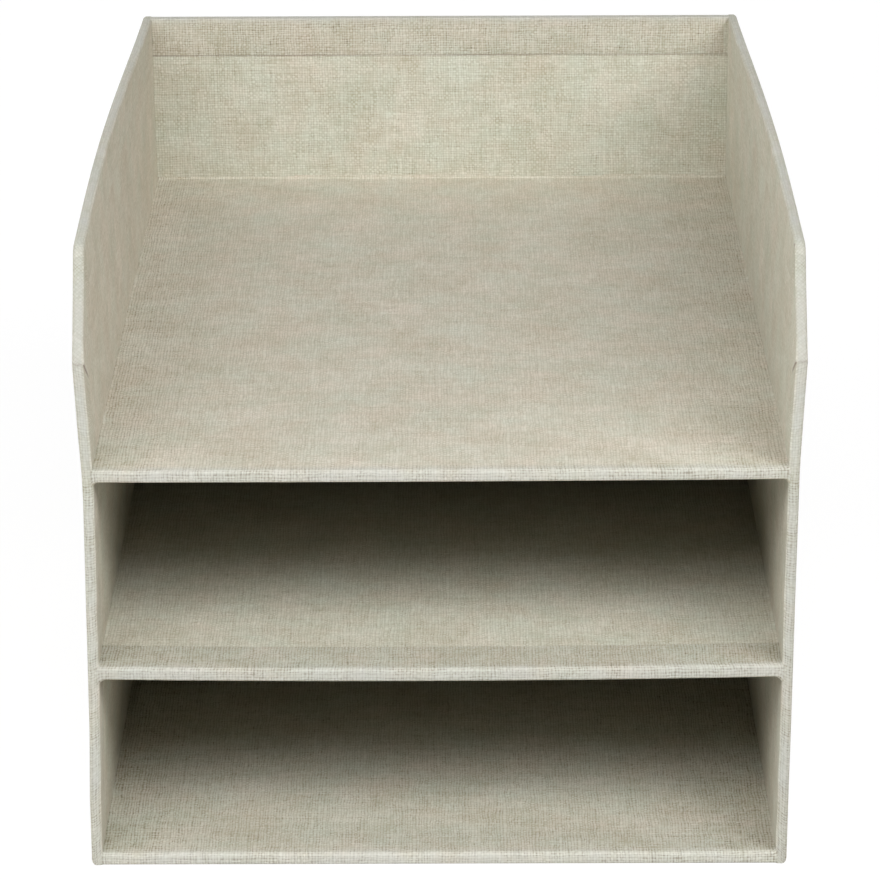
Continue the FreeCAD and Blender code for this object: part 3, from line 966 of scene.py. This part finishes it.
def chance(tree, place, dimensions):
    """One White Noise node: a value that has nothing to do with its neighbours'."""
    values = {"Vector": place}
    return put(tree, "ShaderNodeTexWhiteNoise", values, noise_dimensions=dimensions).outputs[0]


def stretch(tree, value, low, high):
    """Spread a value from low..high to 0..1, clamped."""
    values = {"Value": value, "From Min": low, "From Max": high}
    return put(tree, "ShaderNodeMapRange", values).outputs["Result"]


def blend(tree, factor, first, second, how="MIX"):
    """A colour Mix node; returns its colour output."""
    values = {0: factor, 6: first, 7: second}
    return put(tree, "ShaderNodeMix", values, data_type="RGBA", blend_type=how).outputs[2]


def new_group(name, takes, gives):
    """A shader node group with named inputs (socket type and default) and outputs."""
    group = bpy.data.node_groups.new(name, "ShaderNodeTree")
    for label, (kind, value) in takes.items():
        socket = group.interface.new_socket(label, in_out="INPUT", socket_type=kind)
        if value is not None:
            socket.default_value = value
    for label in gives:
        group.interface.new_socket(label, in_out="OUTPUT", socket_type=FLOAT)
    return group, group.nodes.new("NodeGroupInput"), group.nodes.new("NodeGroupOutput")


def new_material(name):
    """A material with nodes; returns it, its node tree and its Principled BSDF."""
    material = bpy.data.materials.new(name)
    material.use_nodes = True
    return material, material.node_tree, material.node_tree.nodes["Principled BSDF"]


def finish(tree, shader, colour, rough, bump):
    """Link a shader's colour and roughness, and a bump of given strength, distance and height."""
    normal = put(tree, "ShaderNodeBump", bump).outputs[0]
    for label, value in (("Base Color", colour), ("Roughness", rough), ("Normal", normal)):
        tree.links.new(value, shader.inputs[label])


# %% [markdown]
# Linen is a plain weave: each thread goes over one neighbour and under the next. With a and b
# counting threads, sin(pi a) * sin(pi b) changes its sign from crossing to crossing, which
# says which thread is on top. Flax threads are uneven: they wander, some are thick and some
# thin, and thick places called slubs are lighter or darker for a while. So the counts are bent
# by noise, and each thread reads a noise that is long in its own direction. Between threads
# run dark lines that come and go, with a darker hole where two of them cross, and some knots,
# the places where a thread lies on top, catch more light than others.

# %% Weave group
THREADS_PER_METRE = (980.0, 1015.0, 0.0)
WAVER = 1.5
DRIFT_MIDDLE = (0.5, 0.5, 0.5)


def thread_place(group, across, jump, along, slow, seed):
    """Where a thread reads its noise: far from the next thread's, and slowly moving along."""
    return combine(group, times(group, across, jump), times(group, along, slow), seed)


def thread_wave(group, number):
    """Sine that is zero between two threads: sin(pi * number)."""
    return calc(group, "SINE", times(group, number, math.pi))


def thread_tone(group, number, along, seed):
    """Tone of single threads: noise that jumps from thread to thread and changes slowly along."""
    place = thread_place(group, calc(group, "FLOOR", number), 3.7, along, 0.09, seed)
    return noise(group, place, 1.0, 3.0, 0.65)


def uneven_count(group, number, along, seed):
    """Thread count with thick and thin threads: count plus noise across the threads."""
    bend = noise(group, thread_place(group, number, 0.55, along, 0.02, seed), 1.0, 1.0)
    return plus(group, number, scaled(group, bend, 1.3, -0.65))


def thread_gap(group, number, along, seed):
    """Dark line between two threads: narrow across it, and as deep as chance at each crossing."""
    line = calc(group, "ROUND", number)
    place = thread_place(group, line, 5.3, along, 0.28, seed)
    comes = stretch(group, noise(group, place, 1.0, 2.0), 0.25, 0.65)
    piece = combine(group, line, calc(group, "FLOOR", along), seed)
    deep = times(group, comes, chance(group, piece, "3D"))
    wave = calc(group, "ABSOLUTE", thread_wave(group, number))
    narrow = calc(group, "POWER", calc(group, "SUBTRACT", 1.0, wave), 1.2)
    return narrow, times(group, narrow, deep)


def weave_group():
    """Thread height, gaps between threads and thread tone of a plain weave."""
    takes = {
        "Cloth": (VECTOR, None),
        "Threads": (VECTOR, THREADS_PER_METRE),
        "Waver": (FLOAT, WAVER),
    }
    group, inside, out = new_group("linen_weave", takes, ("Height", "Gap", "Tone"))
    place = inside.outputs["Cloth"]
    drift = noise(group, place, 110.0, 3.0, gives="Color")
    waver = {0: vector(group, "SUBTRACT", drift, DRIFT_MIDDLE), "Scale": inside.outputs["Waver"]}
    drift = put(group, "ShaderNodeVectorMath", waver, operation="SCALE").outputs[0]
    count = vector(group, "ADD", vector(group, "MULTIPLY", place, inside.outputs["Threads"]), drift)
    axes = put(group, "ShaderNodeSeparateXYZ", {0: count})
    a = uneven_count(group, axes.outputs[0], axes.outputs[1], 4.0)
    b = uneven_count(group, axes.outputs[1], axes.outputs[0], 7.0)
    wave_a, wave_b = thread_wave(group, a), thread_wave(group, b)
    across, along = calc(group, "ABSOLUTE", wave_a), calc(group, "ABSOLUTE", wave_b)
    over = scaled(group, times(group, wave_a, wave_b), 0.5, 0.5)
    under = calc(group, "SUBTRACT", 1.0, over)
    warp = times(group, calc(group, "SQRT", across), over)
    weft = times(group, calc(group, "SQRT", along), under)
    height = plus(group, warp, weft)
    narrow_a, line_a = thread_gap(group, a, b, 12.0)
    narrow_b, line_b = thread_gap(group, b, a, 15.0)
    corner = combine(group, calc(group, "ROUND", a), calc(group, "ROUND", b), 0.0)
    hole = times(group, times(group, narrow_a, narrow_b), chance(group, corner, "2D"))
    mesh = scaled(group, plus(group, line_a, line_b), 0.7, hole)
    patch = stretch(group, noise(group, count, 0.2, 3.0, 0.6), 0.36, 0.66)
    gap = times(group, mesh, scaled(group, patch, 0.65, 0.35))
    cell = combine(group, calc(group, "FLOOR", a), calc(group, "FLOOR", b), 0.0)
    painted_knot_highlight = times(group, times(group, across, along), chance(group, cell, "2D"))
    values = {
        "Factor": stretch(group, over, 0.3, 0.7),
        "A": thread_tone(group, b, a, 9.0),
        "B": thread_tone(group, a, b, 2.0),
    }
    tone = scaled(group, put(group, "ShaderNodeMix", values).outputs["Result"], 1.4, -0.2)
    # Painted shade and highlights in the thread tone: the dips between thread crowns are darker by
    # the height, and the knots are lighter.
    for value, gain, offset in ((over, -0.12, 0.06), (height, 0.2, -0.13), (painted_knot_highlight, 0.3, -0.06)):
        tone = plus(group, tone, scaled(group, value, gain, offset))
    for label, value in (("Height", height), ("Gap", gap), ("Tone", tone)):
        group.links.new(value, out.inputs[label])
    return group


WEAVE = weave_group()
print("weave group:", len(WEAVE.nodes), "nodes")

# %% [markdown]
# Natural linen is never one colour. Clouds from some millimetres to some centimetres wide
# shift it between lighter and darker, and between pinkish beige and greenish grey.

# %% Mottle group
HUE_APART = (3.1, 7.7, 0.0)


def mottle_group():
    """Cloud for light and dark, Hue for pink and green, both from noise of several sizes."""
    takes = {"Cloth": (VECTOR, None), "Size": (FLOAT, 40.0)}
    group, inside, out = new_group("cloth_mottle", takes, ("Cloud", "Hue"))
    place, size = inside.outputs["Cloth"], inside.outputs["Size"]
    cloud = noise(group, place, size, 5.0, 0.65)
    hue = noise(group, vector(group, "ADD", place, HUE_APART), size, 5.0, 0.75)
    group.links.new(stretch(group, cloud, 0.3, 0.7), out.inputs["Cloud"])
    group.links.new(stretch(group, hue, 0.32, 0.68), out.inputs["Hue"])
    return group


MOTTLE = mottle_group()
print("mottle group:", len(MOTTLE.nodes), "nodes")

# %% [markdown]
# The finish itself: thread tone between a dark and a light linen colour, hue clouds on top,
# gaps darker, and a bump from the thread height. Rubbed edges are paler and their weave is
# pressed flat; fold lines and the painted shadow under the back strip are dark. The tone mark
# scales it all: each sheet's own tone together with its painted light and shade.

# %% Linen material
LIGHT = (0.665, 0.653, 0.588, 1.0)
DARK = (0.437, 0.414, 0.324, 1.0)
PINK = (1.045, 0.98, 0.95, 1.0)
GREEN = (0.965, 1.01, 0.985, 1.0)
GAP_BROWN = (0.137, 0.1, 0.036, 1.0)
RUBBED = (0.475, 0.475, 0.447, 1.0)
FOLD_AND_SHADOW_BROWN = (0.17, 0.11, 0.09, 1.0)
THREAD_SHARE, CLOUD_SHARE = 0.6, 0.4
GAP_STRENGTH, FOLD_AND_SHADOW_STRENGTH = 0.85, 0.75
LINEN_SHINE = 0.2


def mark_value(tree, key):
    """A mark that was stored at the points of a sheet."""
    node = put(tree, "ShaderNodeAttribute", attribute_name=key, attribute_type="GEOMETRY")
    return node.outputs["Fac"]


def linen(name):
    """Woven cloth on the piece's own flat_cloth map and marks."""
    material, tree, shader = new_material(name)
    flat_map = {"Cloth": put(tree, "ShaderNodeUVMap", uv_map="flat_cloth").outputs[0]}
    weave = put(tree, "ShaderNodeGroup", flat_map, node_tree=WEAVE).outputs
    mottle = put(tree, "ShaderNodeGroup", flat_map, node_tree=MOTTLE).outputs
    wear, opened, warm, fold_and_shadow_lines, own = [mark_value(tree, key) for key in PLAIN_MARKS]
    smooth = calc(tree, "SUBTRACT", 1.0, stretch(tree, wear, 0.6, 1.6))
    thread = times(tree, stretch(tree, weave["Tone"], 0.33, 0.77), THREAD_SHARE)
    colour = blend(tree, scaled(tree, mottle["Cloud"], CLOUD_SHARE, thread), DARK, LIGHT)
    hue = calc(tree, "SUBTRACT", plus(tree, mottle["Hue"], warm), 0.5)
    colour = blend(tree, 1.0, colour, blend(tree, hue, GREEN, PINK), "MULTIPLY")
    dark = times(tree, weave["Gap"], times(tree, opened, smooth))
    colour = blend(tree, times(tree, dark, GAP_STRENGTH), colour, GAP_BROWN)
    rubbed = times(tree, wear, scaled(tree, mottle["Cloud"], 0.8, 0.4))
    colour = blend(tree, rubbed, colour, RUBBED)
    # The tone mark: each sheet's own tone together with painted light and shade.
    colour = blend(tree, 1.0, colour, own, "MULTIPLY")
    # Dark lines along the folds, and the painted shadow under the back strip.
    colour = blend(tree, times(tree, fold_and_shadow_lines, FOLD_AND_SHADOW_STRENGTH), colour, FOLD_AND_SHADOW_BROWN)
    rough = scaled(tree, weave["Height"], -0.12, 0.95)
    height = times(tree, weave["Height"], smooth)
    finish(tree, shader, colour, rough, {"Strength": 0.55, "Distance": 0.00025, "Height": height})
    shader.inputs["Specular IOR Level"].default_value = LINEN_SHINE
    return material


cover_linen = linen("cover_linen")
lining_linen = linen("lining_linen")
print("linen nodes:", len(cover_linen.node_tree.nodes))

# %% [markdown]
# The boards are grey fibreboard, pressed from waste paper: a warm grey with darker and
# lighter fibres. They are hidden, but a part that is taken apart should still show them right.

# %% Board material
FIBRE_DARK = (0.22, 0.20, 0.17, 1.0)
FIBRE_LIGHT = (0.46, 0.43, 0.38, 1.0)
FLECK_SHARE, FIBRE_CLOUD_SHARE = 0.7, 0.3


def fibreboard():
    """Grey board with fibre flecks on Object coordinates."""
    material, tree, shader = new_material("grey_fibreboard")
    place = put(tree, "ShaderNodeTexCoord").outputs["Object"]
    fleck = noise(tree, place, 900.0, 5.0, 0.7)
    cloud = times(tree, noise(tree, place, 60.0, 2.0), FIBRE_CLOUD_SHARE)
    colour = blend(tree, scaled(tree, fleck, FLECK_SHARE, cloud), FIBRE_DARK, FIBRE_LIGHT)
    rough = scaled(tree, fleck, 0.2, 0.75)
    finish(tree, shader, colour, rough, {"Strength": 0.4, "Distance": 0.0001, "Height": fleck})
    return material


FINISH = {"board": fibreboard(), "cover_cloth": cover_linen, "lining_cloth": lining_linen}
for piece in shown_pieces():
    if "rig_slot" in piece:
        piece.data.materials.clear()
        piece.data.materials.append(FINISH[piece["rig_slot"]])
print("materials:", [material.name for material in FINISH.values()])

# %% [markdown]
# The studio: a pale floor that looks white to the camera but keeps a faint contact shadow,
# large soft lamps in front and above, and a little light from a white tent overhead. The tent
# starts above the horizon, because light from low down would fill the deep bays.
# Lengths here and below are metres.

# %% Floor and surroundings
FLOOR_HALF = 1.8
FLOOR_DROP = 0.0001
FLOOR_GREY = (0.6, 0.6, 0.6, 1.0)
FLOOR_ROUGH = 0.9
WHITE = (1.0, 1.0, 1.0, 1.0)
GLOW_SHARE = 0.8
GLOW_LEVEL = 1.13
AMBIENT = 0.08
TENT_LOW, TENT_FULL = 12.0, 28.0


def seen_directly(tree):
    """One for rays that show the surroundings to the camera, straight or in a reflection."""
    ray = put(tree, "ShaderNodeLightPath").outputs
    mirrored = calc(tree, "MAXIMUM", ray["Is Glossy Ray"], ray["Is Transmission Ray"])
    return calc(tree, "MAXIMUM", ray["Is Camera Ray"], mirrored)


floor_mesh = bpy.data.meshes.new("studio_floor")
floor_corners = np.array(((-1, -1), (1, -1), (1, 1), (-1, 1))) * FLOOR_HALF
floor_mesh.from_pydata([(x, y, -FLOOR_DROP) for x, y in floor_corners], [], [(0, 1, 2, 3)])
floor = bpy.data.objects.new("studio_floor", floor_mesh)
bpy.context.scene.collection.objects.link(floor)
floor_finish, tree, plain = new_material("studio_floor")
plain.inputs["Base Color"].default_value = FLOOR_GREY
plain.inputs["Roughness"].default_value = FLOOR_ROUGH
glow = put(tree, "ShaderNodeEmission", {"Color": WHITE, "Strength": GLOW_LEVEL})
share = times(tree, seen_directly(tree), GLOW_SHARE)
mix = put(tree, "ShaderNodeMixShader", {0: share, 1: plain.outputs[0], 2: glow.outputs[0]})
tree.links.new(mix.outputs[0], tree.nodes["Material Output"].inputs["Surface"])
floor_mesh.materials.append(floor_finish)

world = bpy.data.worlds.new("studio")
bpy.context.scene.world = world
world.use_nodes = True
tree = world.node_tree
background = tree.nodes["Background"]
background.inputs["Color"].default_value = WHITE
toward = put(tree, "ShaderNodeTexCoord").outputs["Generated"]
rise = put(tree, "ShaderNodeSeparateXYZ", {0: toward}).outputs[2]
tent = stretch(tree, rise, math.sin(math.radians(TENT_LOW)), math.sin(math.radians(TENT_FULL)))
level = calc(tree, "MAXIMUM", seen_directly(tree), times(tree, tent, AMBIENT))
tree.links.new(level, background.inputs["Strength"])
print("floor and surroundings made")

# %% [markdown]
# Each lamp is a flat soft box that looks at the middle of the tray. The list gives where it
# stands, as an angle to the right and an angle up, how wide and high it is and how strong.

# %% Lamps
LAMP_DISTANCE = 2.0
LAMP_AIM = np.array((0.0, 0.0, 0.12))
WIDE, SQUARE = (1.2, 0.8), (1.0, 1.0)
LAMPS = (
    ("right_lamp", 45.0, 33.0, WIDE, 20.5),
    ("front_lamp", 15.0, 41.0, WIDE, 12.0),
    ("front_left_lamp", -15.0, 41.0, WIDE, 13.4),
    ("left_lamp", -45.0, 33.0, WIDE, 8.5),
    ("side_lamp", -80.0, 15.0, SQUARE, 16.5),
    ("upper_lamp", 80.0, 65.0, SQUARE, 3.3),
    ("rear_lamp", 180.0, 8.0, SQUARE, 11.0),
)


def softbox(name, azimuth, elevation, size, watts):
    """A flat lamp on a sphere round the tray, turned to its middle."""
    turn, rise = math.radians(azimuth), math.radians(elevation)
    level = math.cos(rise)
    away = np.array((math.sin(turn) * level, -math.cos(turn) * level, math.sin(rise)))
    side = np.array((math.cos(turn), math.sin(turn), 0.0))
    lamp_data = bpy.data.lights.new(name, "AREA")
    lamp_data.shape = "RECTANGLE"
    lamp_data.size, lamp_data.size_y = size
    lamp_data.energy = watts
    lamp = bpy.data.objects.new(name, lamp_data)
    stand(lamp, side, np.cross(away, side), away, away * LAMP_DISTANCE + LAMP_AIM)
    lamp.visible_camera = False
    bpy.context.scene.collection.objects.link(lamp)


for lamp_values in LAMPS:
    softbox(*lamp_values)
print("lamps:", len(LAMPS))

# %% Update the scene
bpy.context.view_layer.update()
